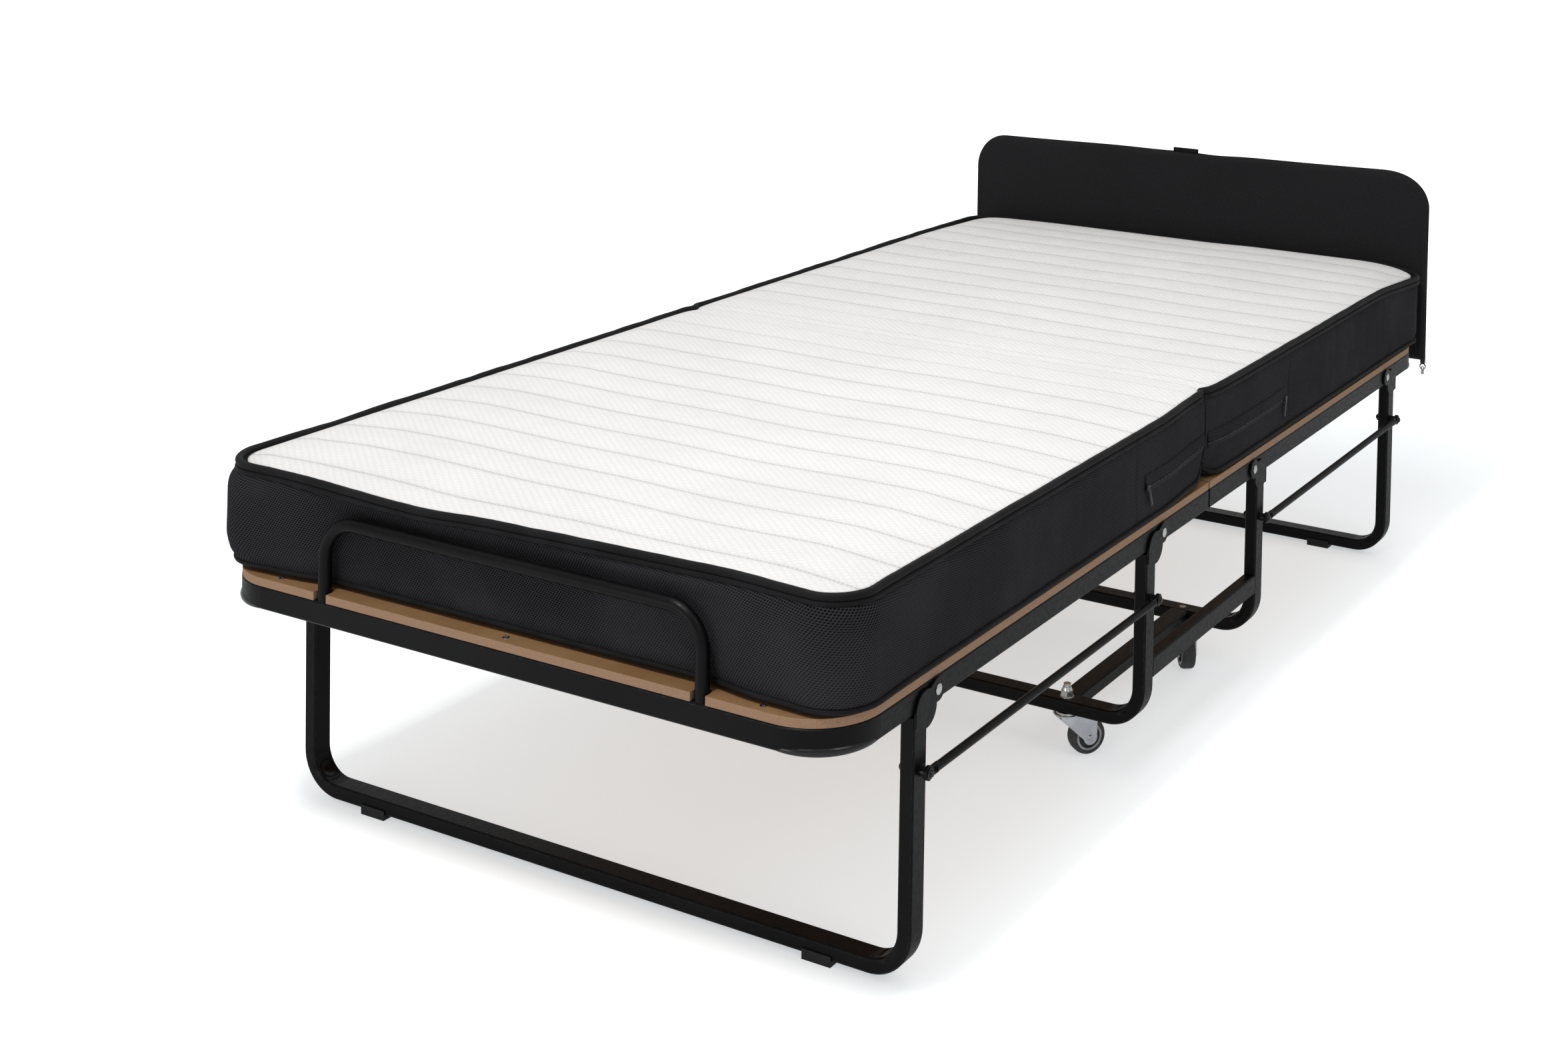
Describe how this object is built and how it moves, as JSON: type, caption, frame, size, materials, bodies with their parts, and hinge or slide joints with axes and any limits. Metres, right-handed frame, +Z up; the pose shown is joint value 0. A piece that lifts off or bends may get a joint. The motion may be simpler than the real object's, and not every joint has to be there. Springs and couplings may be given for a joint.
{
  "type": "rollaway bed",
  "caption": "Folding guest bed with a two-part tube frame, board decks and quilted mattress that fold upright on a castored centre carriage, with link-guided end legs and a padded headboard",
  "frame": {"origin": "on the floor under the middle of the whole bed", "axes": "+X towards the headboard along the bed, +Y to the left side seen from the foot end, +Z up"},
  "size_m": [1.934, 0.934, 0.6337],
  "materials": {
    "frame_black": "satin",
    "bolt_black": "satin",
    "rivet_steel": "satin",
    "plated_steel": "satin",
    "zinc_plate": "satin",
    "wheel_grey": "matte",
    "ring_grey": "matte",
    "board_tan": "satin",
    "pad_black": "matte",
    "mattress_white": "matte",
    "upholstery_black": "matte"
  },
  "bodies": {
    "carriage": {"carriage_hoop_foot": "frame_black", "carriage_hoop_head": "frame_black", "carriage_side_rails": "frame_black", "carriage_lower_rails": "frame_black", "carriage_hinge_plates": "frame_black", "carriage_hinge_rivets": "rivet_steel", "carriage_link_bolts": "bolt_black", "castor_stems": "plated_steel", "mattress_centre": "mattress_white"},
    "foot_deck": {"foot_frame": "frame_black", "foot_board": "board_tan", "foot_board_screws": "plated_steel", "mattress_hoop": "frame_black", "mattress_foot": "mattress_white"},
    "head_deck": {"head_frame": "frame_black", "head_board": "board_tan", "head_board_screws": "plated_steel", "mattress_head": "mattress_white", "headboard_panel": "upholstery_black", "headboard_brackets": "frame_black", "headboard_bolts": "plated_steel", "headboard_loop": "upholstery_black", "headboard_zip_pull": "plated_steel"},
    "foot_leg_frame": {"foot_leg": "frame_black", "foot_leg_plates": "frame_black", "foot_leg_rivets": "rivet_steel", "foot_leg_bolts": "bolt_black", "foot_leg_pads": "pad_black"},
    "head_leg_frame": {"head_leg": "frame_black", "head_leg_plates": "frame_black", "head_leg_rivets": "rivet_steel", "head_leg_bolts": "bolt_black", "head_leg_pads": "pad_black"},
    "foot_rods": {"foot_rod_left": "frame_black", "foot_rod_right": "frame_black"},
    "head_rods": {"head_rod_left": "frame_black", "head_rod_right": "frame_black"},
    "castor_1_swivel": {"castor_1_fork": "zinc_plate", "castor_1_axle": "plated_steel"},
    "castor_1_roller": {"castor_1_wheel": "wheel_grey", "castor_1_rings": "ring_grey"},
    "castor_2_swivel": {"castor_2_fork": "zinc_plate", "castor_2_axle": "plated_steel"},
    "castor_2_roller": {"castor_2_wheel": "wheel_grey", "castor_2_rings": "ring_grey"},
    "castor_3_swivel": {"castor_3_fork": "zinc_plate", "castor_3_axle": "plated_steel"},
    "castor_3_roller": {"castor_3_wheel": "wheel_grey", "castor_3_rings": "ring_grey"},
    "castor_4_swivel": {"castor_4_fork": "zinc_plate", "castor_4_axle": "plated_steel"},
    "castor_4_roller": {"castor_4_wheel": "wheel_grey", "castor_4_rings": "ring_grey"}
  },
  "joints": [
    {"name": "foot_fold", "type": "hinge", "parent": "carriage", "child": "foot_deck", "pos_m": [-0.177, 0, 0.318], "axis": [0, 1, 0], "range_deg": [0, 90], "deforming": ["mattress_centre"]},
    {"name": "head_fold", "type": "hinge", "parent": "carriage", "child": "head_deck", "pos_m": [0.143, 0, 0.318], "axis": [0, -1, 0], "range_deg": [0, 90], "deforming": ["mattress_centre"]},
    {"name": "foot_leg_swing", "type": "hinge", "parent": "foot_deck", "child": "foot_leg_frame", "pos_m": [-0.772, 0, 0.318], "axis": [0, -1, 0], "range_deg": [0, 90]},
    {"name": "head_leg_swing", "type": "hinge", "parent": "head_deck", "child": "head_leg_frame", "pos_m": [0.738, 0, 0.318], "axis": [0, 1, 0], "range_deg": [0, 90]},
    {"name": "foot_rod_swing", "type": "hinge", "parent": "carriage", "child": "foot_rods", "pos_m": [-0.209, 0, 0.239], "axis": [0, 1, 0], "range_deg": [0, 90]},
    {"name": "head_rod_swing", "type": "hinge", "parent": "carriage", "child": "head_rods", "pos_m": [0.175, 0, 0.239], "axis": [0, -1, 0], "range_deg": [0, 90]},
    {"name": "castor_1_turn", "type": "hinge", "parent": "carriage", "child": "castor_1_swivel", "pos_m": [-0.209, -0.331, 0.0584], "axis": [0, 0, 1], "continuous": true},
    {"name": "castor_1_roll", "type": "hinge", "parent": "castor_1_swivel", "child": "castor_1_roller", "pos_m": [-0.18473, -0.34863, 0.025], "axis": [0.5878, 0.809, 0], "continuous": true},
    {"name": "castor_2_turn", "type": "hinge", "parent": "carriage", "child": "castor_2_swivel", "pos_m": [-0.209, 0.331, 0.0584], "axis": [0, 0, 1], "continuous": true},
    {"name": "castor_2_roll", "type": "hinge", "parent": "castor_2_swivel", "child": "castor_2_roller", "pos_m": [-0.18159, 0.3432, 0.025], "axis": [-0.4067, 0.9135, 0], "continuous": true},
    {"name": "castor_3_turn", "type": "hinge", "parent": "carriage", "child": "castor_3_swivel", "pos_m": [0.175, -0.331, 0.0584], "axis": [0, 0, 1], "continuous": true},
    {"name": "castor_3_roll", "type": "hinge", "parent": "castor_3_swivel", "child": "castor_3_roller", "pos_m": [0.15073, -0.34863, 0.025], "axis": [0.5878, -0.809, 0], "continuous": true},
    {"name": "castor_4_turn", "type": "hinge", "parent": "carriage", "child": "castor_4_swivel", "pos_m": [0.175, 0.331, 0.0584], "axis": [0, 0, 1], "continuous": true},
    {"name": "castor_4_roll", "type": "hinge", "parent": "castor_4_swivel", "child": "castor_4_roller", "pos_m": [0.14566, 0.33724, 0.025], "axis": [-0.2079, -0.9781, 0], "continuous": true}
  ],
  "couplings": [
    {"joint": "head_fold", "follows": "foot_fold", "ratio": 1},
    {"joint": "foot_leg_swing", "follows": "foot_fold", "ratio": 1},
    {"joint": "head_leg_swing", "follows": "foot_fold", "ratio": 1},
    {"joint": "foot_rod_swing", "follows": "foot_fold", "ratio": 1},
    {"joint": "head_rod_swing", "follows": "foot_fold", "ratio": 1}
  ]
}
